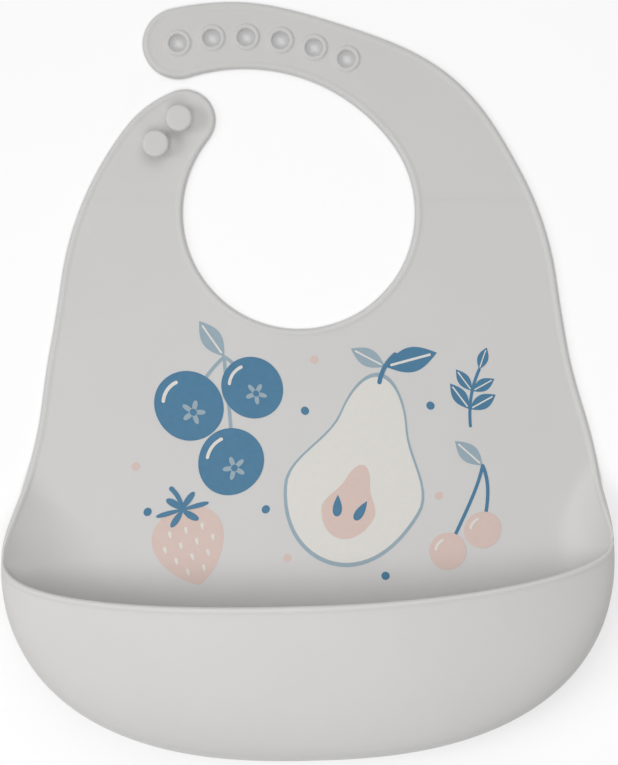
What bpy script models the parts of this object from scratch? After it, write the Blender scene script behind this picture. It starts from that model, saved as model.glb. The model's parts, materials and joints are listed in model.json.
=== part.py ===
"""Silicone feeding bib with a catcher pocket, lying on its back on the plane z = 0.

Metres, +Z up out of the front, +Y towards the neck. The origin is under the middle of the bib.
The real bib is one moulded sheet. Its pieces part here where the sheet folds in use, along the
widest line of the pocket, and round the pegs.
"""

import math

import bmesh
import bpy
import numpy
from mathutils import Matrix, Vector

# Sheet, the raised bead along its free edge, and the space left between pieces
SHEET = 0.0020
BEAD_DIAMETER = 0.0024
BEAD_RISE = 0.0007
BEAD_MARGIN = 0.00015
GAP = 0.0003

# Neck opening
NECK_DIAMETER = 0.0912
NECK_X = -0.0039
NECK_Y = 0.0651

# Outer edge of the shoulders and straps: one arc on each side of the bib, set so that the short
# strap has its least width in this direction from the neck
SHOULDER_RADIUS = 0.1256
STRAP_WIDTH = 0.0259
STRAP_NARROW_ANGLE = math.radians(126.3)

# Lines across which the sheet folds
SHOULDER_Y = 0.0702
FOLD_Y = -0.0117

# Sides of the panel, from the end of the shoulder arc to the pocket's corner
SIDE_START_ANGLE = math.radians(8.0)
SIDE_FLARE_Y = -0.0390
SIDE_FLARE_INSET = 0.0051
SIDE_FLARE_SLOPE = 0.26
POCKET_WIDTH = 0.2344
CORNER_Y = -0.0660

# Pocket: rounded outline below the corners, upturned edge, front wall and its rim
POCKET_DROP = 0.0809
POCKET_ROUNDNESS = 2.45
FLAT_BORDER = 0.0010
CURL_TOP_Y = -0.0250
CURL_TOP_WIDTH = 0.0080
CORNER_TURN_WIDTH = 0.0380
BOTTOM_TURN_WIDTH = 0.0200
TURN_HEIGHT = 0.0180
RIM_CORNER_RISE = 0.0025
RIM_SAG = 0.0187
POCKET_DEPTH = 0.0420
WALL_UPRIGHT = 0.62
WALL_REACH = 0.58
WALL_LIP = 0.26

# Hole strap: its inner edge leaves the neck opening on a wider arc, and its end is round
STRAP_INNER_RADIUS = 0.0718
STRAP_LEAVE_ANGLE = math.radians(35.8)
HOLE_TIP_ANGLE = math.radians(101.8)
HOLE_COUNT = 6
HOLE_DIAMETER = 0.0066
HOLE_PITCH = 0.0134
COLLAR_RING_DIAMETER = 0.0020
COLLAR_RISE = 0.0008
COLLAR_SETBACK = 0.0001

# Peg strap and its pegs, which pass through the holes of the other strap
PEG_TIP_ANGLE = math.radians(134.5)
PEG_CLEARANCE = 0.0003
PEG_HEAD_DIAMETER = 0.0104
PEG_HEAD_HEIGHT = 0.0026
PEG_HEAD_ROUND = 0.0011
PEG_SEAT_DEPTH = 0.0012

# How the upturned edge grows along the sides: its height and how far it has turned, from the least
# turn at its top to upright at the corner
CURL_HEIGHT_POWER = 1.6
CURL_TURN_POWER = 2.0
LEAST_TURN = math.radians(5.0)
UPRIGHT = math.radians(90.0)

# How far the places on the rim lead those on the widest line, so that the wall stands square to both,
# and how far from the corners it starts
RIM_LEAD = 0.5
WALL_START = math.radians(2.7)

# Lengths over which the bead dies away towards the pocket's corners, and where it does on the rim
SIDE_BEAD_FADE = 0.0120
RIM_BEAD_FADE = 0.0160
RIM_BEAD_START = 0.0080

# Smoothness of the curved edges and surfaces
ARC_STEP = math.radians(5.0)
ARC_LEAST_STEPS = 3
SIDE_STEPS = 12
POCKET_STEPS = 40
PROFILE_STEPS = 10
PROFILE_SAMPLES = 80
BEAD_STEPS = 4
MIDDLE_RINGS = 3
FOLD_STEPS = 16
ROUND_STEPS = 28
COLLAR_STEPS = 8
HEAD_ROUND_STEPS = 4
BEAD_RESOLUTION = 2
SHARP_ANGLE = math.radians(40.0)

# How the points of the pocket crowd towards its corners
CORNER_CROWDING = 0.3

# Distance within which two points are one, and how far a cut reaches past the sheet
SAME_POINT = 1e-6
WELD_DISTANCE = 1e-7
CUT_MARGIN = 0.0020

AXIS_DISPLAY_SIZE = 0.028
PEG_NAMES = ("tip_peg", "root_peg")

# Sizes that follow from those above
HALF = 0.5
BEAD_RADIUS = HALF * BEAD_DIAMETER
BEAD_INSET = BEAD_RADIUS + BEAD_MARGIN
BEAD_Z = SHEET + BEAD_RISE - BEAD_RADIUS
BEAD_SUNK = BEAD_RADIUS - BEAD_RISE
BEAD_REACH = math.sqrt(BEAD_RADIUS**2 - BEAD_SUNK**2)
NECK_RADIUS = HALF * NECK_DIAMETER
NECK = Vector((NECK_X, NECK_Y))
LEFT_ARC = NECK - (SHOULDER_RADIUS - NECK_RADIUS - STRAP_WIDTH) * Vector(
    (math.cos(STRAP_NARROW_ANGLE), math.sin(STRAP_NARROW_ANGLE))
)
RIGHT_ARC = Vector((-LEFT_ARC.x, LEFT_ARC.y))
STRAP_INNER_CENTRE = NECK + (NECK_RADIUS - STRAP_INNER_RADIUS) * Vector(
    (math.cos(STRAP_LEAVE_ANGLE), math.sin(STRAP_LEAVE_ANGLE))
)
HOLE_RADIUS = HALF * HOLE_DIAMETER
PEG_STEM_RADIUS = HOLE_RADIUS - PEG_CLEARANCE
PEG_NECK_LENGTH = SHEET + COLLAR_RISE + PEG_CLEARANCE
FOLD_AXIS_Z = SHEET + BEAD_RISE + GAP

SILICONE_GREY = (0.60, 0.60, 0.585, 1.0)
SILICONE_ROUGHNESS = 0.5


def clear_scene():
    for old in list(bpy.data.objects):
        bpy.data.objects.remove(old, do_unlink=True)


def new_collection(name):
    collection = bpy.data.collections.new(name)
    bpy.context.scene.collection.children.link(collection)
    return collection


def silicone(name):
    material = bpy.data.materials.new(name)
    material.use_nodes = True
    shader = material.node_tree.nodes["Principled BSDF"]
    shader.inputs["Base Color"].default_value = SILICONE_GREY
    shader.inputs["Roughness"].default_value = SILICONE_ROUGHNESS
    shader.inputs["Metallic"].default_value = 0.0
    material.diffuse_color = SILICONE_GREY
    return material


def add_part(name, mesh, collection):
    part = bpy.data.objects.new(name, mesh)
    collection.objects.link(part)
    mesh.materials.clear()
    mesh.materials.append(silicone(name + "_silicone"))
    mesh.shade_smooth()
    mesh.set_sharp_from_angle(angle=SHARP_ANGLE)
    return part


def add_tool(name, mesh, collection):
    tool = bpy.data.objects.new(name, mesh)
    collection.objects.link(tool)
    tool.hide_render = True
    tool.display_type = "WIRE"
    return tool


def join_or_cut(part, tool, operation):
    modifier = part.modifiers.new(operation.lower() + "_" + tool.name, "BOOLEAN")
    modifier.operation = operation
    modifier.solver = "EXACT"
    modifier.object = tool


def direction(angle):
    return Vector((math.cos(angle), math.sin(angle)))


def angle_of(vector):
    return math.atan2(vector.y, vector.x)


def arc(centre, radius, start, stop):
    """Points on a circle from one angle to another, both ends included."""
    steps = max(ARC_LEAST_STEPS, math.ceil(abs(stop - start) / ARC_STEP))
    angles = [start + (stop - start) * i / steps for i in range(steps + 1)]
    return [centre + radius * direction(angle) for angle in angles]


def chain(*runs):
    """Runs of points joined end to end, without the points that they share."""
    points = []
    for run in runs:
        points += [p for p in run if not points or (p - points[-1]).length > SAME_POINT]
    if (points[0] - points[-1]).length < SAME_POINT:
        points.pop()
    return points


def inset(points, distance):
    """An open run of points moved to its left."""
    moved = []
    for i, point in enumerate(points):
        along = (points[min(i + 1, len(points) - 1)] - points[max(i - 1, 0)]).normalized()
        moved.append(point + distance * Vector((-along.y, along.x)))
    return moved


def hermite(t, span, start, start_slope, stop, stop_slope):
    """Cubic from start to stop over a span, with the slope at each end."""
    return (
        (2 * t**3 - 3 * t**2 + 1) * start
        + (t**3 - 2 * t**2 + t) * span * start_slope
        + (3 * t**2 - 2 * t**3) * stop
        + (t**3 - t**2) * span * stop_slope
    )


def half_width(y):
    """Half the width of the bib at a level between the pocket's corner and the straps."""
    start_y = LEFT_ARC.y + SHOULDER_RADIUS * math.sin(SIDE_START_ANGLE)
    if y >= start_y:
        return math.sqrt(SHOULDER_RADIUS**2 - (y - LEFT_ARC.y) ** 2) - LEFT_ARC.x
    flare = HALF * POCKET_WIDTH - SIDE_FLARE_INSET
    if y >= SIDE_FLARE_Y:
        start = SHOULDER_RADIUS * math.cos(SIDE_START_ANGLE) - LEFT_ARC.x
        start_slope = math.tan(SIDE_START_ANGLE)
        span = start_y - SIDE_FLARE_Y
        return hermite((start_y - y) / span, span, start, start_slope, flare, SIDE_FLARE_SLOPE)
    span = SIDE_FLARE_Y - CORNER_Y
    return hermite((SIDE_FLARE_Y - y) / span, span, flare, SIDE_FLARE_SLOPE, HALF * POCKET_WIDTH, 0.0)


def side(y_start, y_stop, sign):
    """Points down or up one side of the bib: sign is -1 on the left and 1 on the right."""
    levels = [y_start + (y_stop - y_start) * i / SIDE_STEPS for i in range(SIDE_STEPS + 1)]
    return [Vector((sign * half_width(y), y)) for y in levels]


def round_end(arc_centre, angle, inner_centre, inner_radius):
    """Centre and radius of the strap end that touches the outer arc and an inner circle."""
    apart = arc_centre - inner_centre
    both = inner_radius + SHOULDER_RADIUS
    reach = (both**2 - apart.length_squared) / (2 * (apart.dot(direction(angle)) + both))
    return arc_centre + reach * direction(angle), SHOULDER_RADIUS - reach


def mesh_from_curve(name, curve, height):
    """A curve made a welded mesh, raised to a height."""
    guide = bpy.data.objects.new(name, curve)
    guide.location.z = height
    bpy.context.scene.collection.objects.link(guide)
    bpy.context.view_layer.update()
    depsgraph = bpy.context.evaluated_depsgraph_get()
    mesh = bpy.data.meshes.new_from_object(guide.evaluated_get(depsgraph))
    mesh.transform(guide.matrix_world)
    bpy.data.objects.remove(guide, do_unlink=True)
    welded = bmesh.new()
    welded.from_mesh(mesh)
    bmesh.ops.remove_doubles(welded, verts=welded.verts, dist=WELD_DISTANCE)
    bmesh.ops.recalc_face_normals(welded, faces=welded.faces)
    welded.to_mesh(mesh)
    welded.free()
    return mesh


def poly_curve(name, runs, cyclic):
    curve = bpy.data.curves.new(name, "CURVE")
    for points in runs:
        spline = curve.splines.new("POLY")
        spline.points.add(len(points) - 1)
        for slot, point in zip(spline.points, points):
            slot.co = (*point.to_3d(), 1.0)
        spline.use_cyclic_u = cyclic
    return curve


def circle(centre, radius):
    angles = [2 * math.pi * i / ROUND_STEPS for i in range(ROUND_STEPS)]
    return [centre + radius * direction(angle) for angle in angles]


def flat_sheet(name, outline, collection, holes=()):
    """A flat piece of the sheet, its back on z = 0, open inside each of the holes."""
    curve = poly_curve(name, [outline, *holes], True)
    curve.dimensions = "2D"
    curve.fill_mode = "BOTH"
    curve.extrude = HALF * SHEET
    return add_part(name, mesh_from_curve(name, curve, HALF * SHEET), collection)


def trim(mesh, level, keep):
    """Cuts a closed mesh off square at a level: keep is 1 for what lies above it and -1 for below."""
    shape = bmesh.new()
    shape.from_mesh(mesh)
    everything = shape.verts[:] + shape.edges[:] + shape.faces[:]
    plane = {"plane_co": (0.0, level, 0.0), "plane_no": (0.0, keep, 0.0)}
    bmesh.ops.bisect_plane(shape, geom=everything, clear_inner=True, **plane)
    rim = [edge for edge in shape.edges if edge.is_boundary]
    if rim:
        bmesh.ops.holes_fill(shape, edges=rim)
    bmesh.ops.recalc_face_normals(shape, faces=shape.faces)
    shape.to_mesh(mesh)
    shape.free()


def bead(name, path, tools, above=None, below=None):
    """The round bead along a free edge, as a tube to be joined to its piece between two levels."""
    curve = poly_curve(name, [path], False)
    curve.dimensions = "3D"
    curve.bevel_depth = BEAD_RADIUS
    curve.bevel_resolution = BEAD_RESOLUTION
    curve.use_fill_caps = True
    mesh = mesh_from_curve(name, curve, 0.0)
    if above is not None:
        trim(mesh, above + GAP, 1)
    if below is not None:
        trim(mesh, below - GAP, -1)
    return add_tool(name, mesh, tools)


def drawn_out(path):
    """A path carried on past its ends, for a bead that is then cut off square."""
    first = path[0] + (path[0] - path[1]).normalized() * BEAD_DIAMETER
    last = path[-1] + (path[-1] - path[-2]).normalized() * BEAD_DIAMETER
    return [first] + path + [last]


def flat_bead(name, edge, tools, above=None, below=None):
    """The bead of a flat piece. The edge runs with the sheet on its left."""
    lifted = [point.to_3d() + Vector((0.0, 0.0, BEAD_Z)) for point in inset(edge, BEAD_INSET)]
    return bead(name, drawn_out(lifted), tools, above, below)


def bead_section():
    """The bead's cross-section, from the free edge inwards: distance from the edge, and rise."""
    section = [(0.0, 0.0)]
    for i in range(BEAD_STEPS + 1):
        across = -BEAD_REACH * math.cos(math.pi * i / BEAD_STEPS)
        rise = math.sqrt(BEAD_RADIUS**2 - across**2) - BEAD_SUNK
        section.append((BEAD_INSET + across, max(rise, 0.0)))
    return section


def profile_columns(profile):
    """Shares and bead rises along a profile, from its free edge at share 1 to its start at share 0."""
    shares = [1.0 - i / PROFILE_SAMPLES for i in range(PROFILE_SAMPLES + 1)]
    points = [profile(share) for share in shares]
    lengths = [(far - near).length for near, far in zip(points, points[1:])]
    reach = numpy.concatenate(([0.0], numpy.cumsum(lengths)))
    section = bead_section()
    bead_end = section[-1][0]
    for j in range(1, PROFILE_STEPS + 1):
        passed = HALF * (1.0 - math.cos(math.pi * j / PROFILE_STEPS))
        section.append((bead_end + (reach[-1] - bead_end) * passed, 0.0))
    wanted = [distance for distance, rise in section]
    return list(zip(numpy.interp(wanted, reach, shares), [rise for distance, rise in section]))


def fill_level(skin, loop):
    """Fills a level loop of points with rings that shrink towards its middle."""
    middle = sum((vert.co for vert in loop), Vector()) / len(loop)
    outer = loop
    for i in range(1, MIDDLE_RINGS):
        size = 1.0 - i / MIDDLE_RINGS
        inner = [skin.verts.new(middle + size * (vert.co - middle)) for vert in loop]
        for j in range(len(loop)):
            skin.faces.new((outer[j - 1], inner[j - 1], inner[j], outer[j]))
        outer = inner
    centre = skin.verts.new(middle)
    for j in range(len(loop)):
        skin.faces.new((outer[j - 1], centre, outer[j]))


def loft(name, rows, collection, growth, level_middle=False):
    """A shell grown from rows of points, each with the bead's rise: growth is 1 outwards, -1 inwards."""
    skin = bmesh.new()
    grid = [[skin.verts.new(point) for point, rise in row] for row in rows]
    for row, following in zip(grid, grid[1:]):
        for j in range(len(row) - 1):
            skin.faces.new((row[j], row[j + 1], following[j + 1], following[j]))
    rises = [rise for row in rows for point, rise in row]
    if level_middle:
        first = grid[0][-1]
        last = grid[-1][-1]
        steps = [i / FOLD_STEPS for i in range(1, FOLD_STEPS)]
        fold = [skin.verts.new(last.co.lerp(first.co, step)) for step in steps]
        fill_level(skin, [row[-1] for row in grid] + fold)
    rises += [0.0] * (len(skin.verts) - len(rises))
    mesh = bpy.data.meshes.new(name)
    skin.to_mesh(mesh)
    skin.free()
    part = add_part(name, mesh, collection)
    thickness = part.vertex_groups.new(name="thickness")
    for i, rise in enumerate(rises):
        thickness.add([i], (SHEET + rise) / (SHEET + BEAD_RISE), "REPLACE")
    wall = part.modifiers.new("wall", "SOLIDIFY")
    wall.thickness = SHEET + BEAD_RISE
    wall.vertex_group = thickness.name
    wall.offset = growth
    return part


def pocket_outline(t):
    """A point on the pocket's widest line: t runs from 0 at the left corner to pi at the right."""
    power = 2.0 / POCKET_ROUNDNESS
    across = math.copysign(abs(math.cos(t)) ** power, math.cos(t))
    return Vector((-HALF * POCKET_WIDTH * across, CORNER_Y - POCKET_DROP * abs(math.sin(t)) ** power))


def pocket_angle(i):
    """Steps from corner to corner, closer together near the corners."""
    t = math.pi * i / POCKET_STEPS
    return t - CORNER_CROWDING * math.sin(2 * t)


def pocket_inward(t):
    """The level direction into the pocket, square to its widest line."""
    nudge = 1e-4
    along = pocket_outline(min(t + nudge, math.pi)) - pocket_outline(max(t - nudge, 0.0))
    return Vector((-along.y, along.x)).normalized()


def turn_profile(station, share):
    """A point on the upturned back of the sheet: share 0 lies flat, share 1 is at the edge."""
    edge, inward, width, height, turn = station
    across = width * (1.0 - math.sin(turn * share) / math.sin(turn))
    rise = height * (1.0 - math.cos(turn * share)) / (1.0 - math.cos(turn))
    return (edge + inward * across).to_3d() + Vector((0.0, 0.0, rise))


def flat_point(station):
    """A point on the level middle of the sheet, a narrow border inside its upturned edge."""
    edge, inward, width = station[:3]
    return (edge + inward * (width + FLAT_BORDER)).to_3d()


def side_station(y, sign):
    """The sheet's upturned edge on one side, above the pocket's corner."""
    share = min(max((CURL_TOP_Y - y) / (CURL_TOP_Y - CORNER_Y), 0.0), 1.0)
    slope = (half_width(y + GAP) - half_width(max(y - GAP, CORNER_Y))) / (2 * GAP)
    inward = Vector((-1.0, slope)).normalized()
    if y >= FOLD_Y - GAP:
        inward = Vector((-1.0, 0.0))
    inward.x *= sign
    width = CURL_TOP_WIDTH + (CORNER_TURN_WIDTH - CURL_TOP_WIDTH) * share
    height = TURN_HEIGHT * share**CURL_HEIGHT_POWER
    turn = LEAST_TURN + (UPRIGHT - LEAST_TURN) * share**CURL_TURN_POWER
    return Vector((sign * half_width(y), y)), inward, width, height, turn


def pocket_station(t):
    """The sheet's upturned edge below the corners."""
    width = CORNER_TURN_WIDTH + (BOTTOM_TURN_WIDTH - CORNER_TURN_WIDTH) * math.sin(t)
    return pocket_outline(t), pocket_inward(t), width, TURN_HEIGHT, UPRIGHT


def panel_row(station, bead_share):
    """The back of the sheet at one place, from the free edge to the level middle."""
    row = []
    for share, rise in profile_columns(lambda share: turn_profile(station, share)):
        row.append((turn_profile(station, share), bead_share * rise))
    return row + [(flat_point(station), 0.0)]


def make_lower_panel(parts):
    """The back of the pocket: level in the middle, with its edge turned up all round."""
    levels = [p.y for p in side(FOLD_Y - HALF * GAP, CORNER_Y, -1)][:-1]
    fades = [min((y - CORNER_Y) / SIDE_BEAD_FADE, 1.0) for y in levels]
    left = [panel_row(side_station(y, -1), fade) for y, fade in zip(levels, fades)]
    right = [panel_row(side_station(y, 1), fade) for y, fade in zip(levels, fades)]
    below = [panel_row(pocket_station(pocket_angle(i)), 0.0) for i in range(POCKET_STEPS + 1)]
    return loft("lower_panel", left + below + right[::-1], parts, -1, level_middle=True)


def rim_angle(t):
    """The place along the rim that faces a place on the widest line."""
    turn = HALF * math.pi * (min(t, math.pi - t) / (HALF * math.pi)) ** RIM_LEAD
    return turn if t < HALF * math.pi else math.pi - turn


def rim_point(t):
    """A point on the rim of the pocket's front wall."""
    rise = RIM_CORNER_RISE + (POCKET_DEPTH - TURN_HEIGHT - RIM_CORNER_RISE) * math.sin(t) ** 2
    return Vector(
        (-HALF * POCKET_WIDTH * math.cos(t), CORNER_Y - RIM_SAG * math.sin(t), TURN_HEIGHT + rise)
    )


def wall_point(t, share):
    """A point on the outside of the front wall: share 0 is its widest line, share 1 its rim."""
    foot = pocket_outline(t).to_3d() + Vector((0.0, 0.0, TURN_HEIGHT + GAP))
    rim = rim_point(rim_angle(t))
    rise = rim.z - foot.z
    level = Vector((rim.x - foot.x, rim.y - foot.y, 0.0))
    upright = foot + Vector((0.0, 0.0, WALL_UPRIGHT * rise))
    lip = rim - level * WALL_REACH - Vector((0.0, 0.0, WALL_LIP * rise))
    rest = 1.0 - share
    return foot * rest**3 + upright * 3 * rest**2 * share + lip * 3 * rest * share**2 + rim * share**3


def wall_outward(t, share):
    """The outward direction of the front wall at a point."""
    nudge = 1e-3
    across = wall_point(t + nudge, share) - wall_point(t - nudge, share)
    upwards = wall_point(t, min(share + nudge, 1.0)) - wall_point(t, max(share - nudge, 0.0))
    return across.cross(upwards).normalized()


def wall_row(t):
    """The inside of the front wall at one place, from its rim, beaded outside, to its foot."""
    past_start = HALF * POCKET_WIDTH * math.sin(t) - RIM_BEAD_START
    bead_share = min(max(past_start / RIM_BEAD_FADE, 0.0), 1.0)
    row = []
    for share, rise in profile_columns(lambda share: wall_point(t, share)):
        row.append((wall_point(t, share) - SHEET * wall_outward(t, share), bead_share * rise))
    return row


def make_catcher_pocket(parts):
    """The front wall of the pocket, standing on the widest line, with a beaded rim."""
    inner = [pocket_angle(i) for i in range(2, POCKET_STEPS - 1)]
    angles = [WALL_START] + inner + [math.pi - WALL_START]
    return loft("catcher_pocket", [wall_row(t) for t in angles], parts, 1)


def neck_angle(y):
    return math.asin((y - NECK_Y) / NECK_RADIUS)


def make_chest_panel(parts, tools):
    """The flat bib front between the fold and the shoulders, hollowed for the neck."""
    top = SHOULDER_Y - HALF * GAP
    bottom = FOLD_Y + HALF * GAP
    left = side(top, bottom, -1)
    right = side(bottom, top, 1)
    opening = neck_angle(top)
    neck = arc(NECK, NECK_RADIUS, opening, -math.pi - opening)
    panel = flat_sheet("chest_panel", chain(left, right, neck), parts)
    for name, edge in (("left_chest_bead", left), ("right_chest_bead", right), ("neck_bead", neck)):
        join_or_cut(panel, flat_bead(name, edge, tools, bottom, top), "UNION")
    return panel


def cylinder(name, centre, radius, low, high, tools):
    shape = bmesh.new()
    bmesh.ops.create_cone(
        shape,
        cap_ends=True,
        segments=ROUND_STEPS,
        radius1=radius,
        radius2=radius,
        depth=high - low,
        matrix=Matrix.Translation((centre.x, centre.y, HALF * (low + high))),
    )
    mesh = bpy.data.meshes.new(name)
    shape.to_mesh(mesh)
    shape.free()
    return add_tool(name, mesh, tools)


def collar(name, centre, tools):
    """The raised ring round a hole, as a torus to be joined to the strap."""
    ring = HALF * COLLAR_RING_DIAMETER
    bpy.ops.mesh.primitive_torus_add(
        major_radius=HOLE_RADIUS + COLLAR_SETBACK + ring,
        minor_radius=ring,
        major_segments=ROUND_STEPS,
        minor_segments=COLLAR_STEPS,
        location=(centre.x, centre.y, SHEET + COLLAR_RISE - ring),
    )
    made = bpy.context.object
    mesh = made.data
    mesh.transform(made.matrix_world)
    bpy.data.objects.remove(made, do_unlink=True)
    return add_tool(name, mesh, tools)


def fastener_places(arc_centre, tip, step, count):
    """Places along the strap, at one pitch from the middle of its round end."""
    spoke = tip - arc_centre
    turn = math.copysign(HOLE_PITCH / spoke.length, step)
    return [arc_centre + spoke.length * direction(angle_of(spoke) + i * turn) for i in range(count)]


def make_hole_strap(parts, tools):
    """The long strap, with a row of collared holes that starts in its round end."""
    root = SHOULDER_Y + HALF * GAP
    tip, tip_radius = round_end(RIGHT_ARC, HOLE_TIP_ANGLE, STRAP_INNER_CENTRE, STRAP_INNER_RADIUS)
    start = math.asin((root - LEFT_ARC.y) / SHOULDER_RADIUS)
    inwards = angle_of(STRAP_INNER_CENTRE - tip) + 2 * math.pi
    edge = chain(
        arc(RIGHT_ARC, SHOULDER_RADIUS, start, HOLE_TIP_ANGLE),
        arc(tip, tip_radius, HOLE_TIP_ANGLE, inwards),
        arc(STRAP_INNER_CENTRE, STRAP_INNER_RADIUS, inwards - math.pi, STRAP_LEAVE_ANGLE),
        arc(NECK, NECK_RADIUS, STRAP_LEAVE_ANGLE, neck_angle(root)),
    )
    places = fastener_places(RIGHT_ARC, tip, -1, HOLE_COUNT)
    strap = flat_sheet("hole_strap", edge, parts, [circle(place, HOLE_RADIUS) for place in places])
    join_or_cut(strap, flat_bead("hole_strap_bead", edge, tools, above=root), "UNION")
    for i, place in enumerate(places):
        join_or_cut(strap, collar(f"collar_{i + 1}", place, tools), "UNION")
    return strap


def make_peg_strap(parts, tools):
    """The short strap, with a seat for each peg."""
    root = SHOULDER_Y + HALF * GAP
    tip, tip_radius = round_end(LEFT_ARC, PEG_TIP_ANGLE, NECK, NECK_RADIUS)
    start = math.pi - math.asin((root - LEFT_ARC.y) / SHOULDER_RADIUS)
    inwards = angle_of(NECK - tip)
    edge = chain(
        arc(NECK, NECK_RADIUS, math.pi - neck_angle(root), inwards + math.pi),
        arc(tip, tip_radius, inwards, PEG_TIP_ANGLE),
        arc(LEFT_ARC, SHOULDER_RADIUS, PEG_TIP_ANGLE, start),
    )
    strap = flat_sheet("peg_strap", edge, parts)
    join_or_cut(strap, flat_bead("peg_strap_bead", edge, tools, above=root), "UNION")
    places = fastener_places(LEFT_ARC, tip, 1, len(PEG_NAMES))
    low = SHEET - PEG_SEAT_DEPTH
    for name, place in zip(PEG_NAMES, places):
        seat = cylinder(name + "_seat", place, PEG_STEM_RADIUS + GAP, low, SHEET + CUT_MARGIN, tools)
        join_or_cut(strap, seat, "DIFFERENCE")
    return strap, places


def make_peg(name, place, parts):
    """A mushroom peg, turned about its own axis, its foot sunk in the strap."""
    head = HALF * PEG_HEAD_DIAMETER
    under = SHEET + PEG_NECK_LENGTH
    top = under + PEG_HEAD_HEIGHT
    turns = [HALF * math.pi * i / HEAD_ROUND_STEPS for i in range(HEAD_ROUND_STEPS + 1)]
    near = [PEG_HEAD_ROUND * (1.0 - math.cos(turn)) for turn in turns]
    far = [PEG_HEAD_ROUND * (1.0 - math.sin(turn)) for turn in turns]
    upper = [(head - back, top - drop) for back, drop in zip(far, near)]
    lower = [(head - back, under + rise) for back, rise in zip(near, far)]
    foot = SHEET - PEG_SEAT_DEPTH + GAP
    stem = [(PEG_STEM_RADIUS, under), (PEG_STEM_RADIUS, foot), (0.0, foot)]
    outline = [(0.0, top)] + upper + lower + stem
    profile = bmesh.new()
    verts = [profile.verts.new((radius, 0.0, z)) for radius, z in outline]
    for start, stop in zip(verts, verts[1:]):
        profile.edges.new((start, stop))
    mesh = bpy.data.meshes.new(name)
    profile.to_mesh(mesh)
    profile.free()
    peg = add_part(name, mesh, parts)
    peg.location = place.to_3d()
    turned = peg.modifiers.new("turned", "SCREW")
    turned.steps = ROUND_STEPS
    turned.render_steps = ROUND_STEPS
    turned.use_merge_vertices = True
    turned.merge_threshold = SAME_POINT
    return peg


def fold_axis(name, place, collection):
    """The line about which a piece folds, as an empty that carries the piece."""
    axis = bpy.data.objects.new(name, None)
    axis.empty_display_type = "SINGLE_ARROW"
    axis.empty_display_size = AXIS_DISPLAY_SIZE
    axis.location = place
    collection.objects.link(axis)
    return axis


def carry(child, parent):
    """Parents a piece or an axis without moving it."""
    bpy.context.view_layer.update()
    child.parent = parent
    child.matrix_parent_inverse = parent.matrix_world.inverted()


def build():
    clear_scene()
    parts = new_collection("silicone_bib")
    tools = new_collection("silicone_bib_cutters")
    lower = make_lower_panel(parts)
    pocket = make_catcher_pocket(parts)
    chest = make_chest_panel(parts, tools)
    holes = make_hole_strap(parts, tools)
    strap, places = make_peg_strap(parts, tools)
    pegs = [make_peg(name, place, parts) for name, place in zip(PEG_NAMES, places)]
    carry(pocket, lower)
    shoulder = half_width(SHOULDER_Y)
    chest_axis = fold_axis("chest_fold", Vector((0.0, FOLD_Y, FOLD_AXIS_Z)), parts)
    peg_axis = fold_axis("peg_strap_fold", Vector((-shoulder, SHOULDER_Y, FOLD_AXIS_Z)), parts)
    hole_axis = fold_axis("hole_strap_fold", Vector((shoulder, SHOULDER_Y, FOLD_AXIS_Z)), parts)
    carry(chest_axis, lower)
    carry(chest, chest_axis)
    carry(peg_axis, chest)
    carry(hole_axis, chest)
    carry(strap, peg_axis)
    carry(holes, hole_axis)
    for peg in pegs:
        carry(peg, strap)
    bpy.context.view_layer.update()


build()
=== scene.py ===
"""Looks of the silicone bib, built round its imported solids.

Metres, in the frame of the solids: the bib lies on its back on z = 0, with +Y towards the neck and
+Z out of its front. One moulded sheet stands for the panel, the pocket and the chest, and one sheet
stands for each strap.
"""

import json
import math

import bmesh
import bpy
import numpy as np
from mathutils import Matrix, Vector
from mathutils.geometry import delaunay_2d_cdt


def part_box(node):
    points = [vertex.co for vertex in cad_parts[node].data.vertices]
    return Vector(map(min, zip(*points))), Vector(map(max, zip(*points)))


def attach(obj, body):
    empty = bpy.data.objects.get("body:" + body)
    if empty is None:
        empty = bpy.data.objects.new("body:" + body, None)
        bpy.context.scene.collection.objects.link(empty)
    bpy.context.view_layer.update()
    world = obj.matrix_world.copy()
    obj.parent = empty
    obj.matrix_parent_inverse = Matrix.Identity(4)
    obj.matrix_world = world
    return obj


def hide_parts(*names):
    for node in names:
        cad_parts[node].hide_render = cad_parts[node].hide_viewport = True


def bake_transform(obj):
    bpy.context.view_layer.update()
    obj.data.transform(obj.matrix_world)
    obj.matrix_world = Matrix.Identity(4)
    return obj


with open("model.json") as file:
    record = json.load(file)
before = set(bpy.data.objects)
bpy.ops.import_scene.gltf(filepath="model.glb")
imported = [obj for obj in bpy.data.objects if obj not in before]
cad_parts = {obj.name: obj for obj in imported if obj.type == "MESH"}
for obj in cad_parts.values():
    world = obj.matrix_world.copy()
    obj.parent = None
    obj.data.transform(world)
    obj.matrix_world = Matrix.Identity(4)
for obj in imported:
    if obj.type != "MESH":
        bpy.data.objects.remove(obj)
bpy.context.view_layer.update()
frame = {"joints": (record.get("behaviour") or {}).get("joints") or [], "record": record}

# Where the sheet folds and where the holes are, from the frame
FOLD_POINT = {joint["name"]: Vector(joint["pos_m"]) for joint in frame["joints"]}
FOLD_Y = FOLD_POINT["chest_fold"].y
SHOULDER_Y = FOLD_POINT["hole_strap_fold"].y
OPENINGS = frame["record"]["physics"]["openings"]
HOLE_BOXES = [opening["box_m"] for opening in OPENINGS if opening["name"].startswith("peg_hole")]
HOLES = [(Vector(low) + Vector(high)).to_2d() / 2 for low, high in HOLE_BOXES]

# Sheet
SHEET = 0.0020

# Neck opening
NECK_RADIUS = 0.0456
NECK = Vector((-0.0039, 0.0651))

# Outer edge of the shoulders and straps
SHOULDER_RADIUS = 0.1256
STRAP_WIDTH = 0.0259
STRAP_NARROW_ANGLE = math.radians(126.3)

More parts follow.
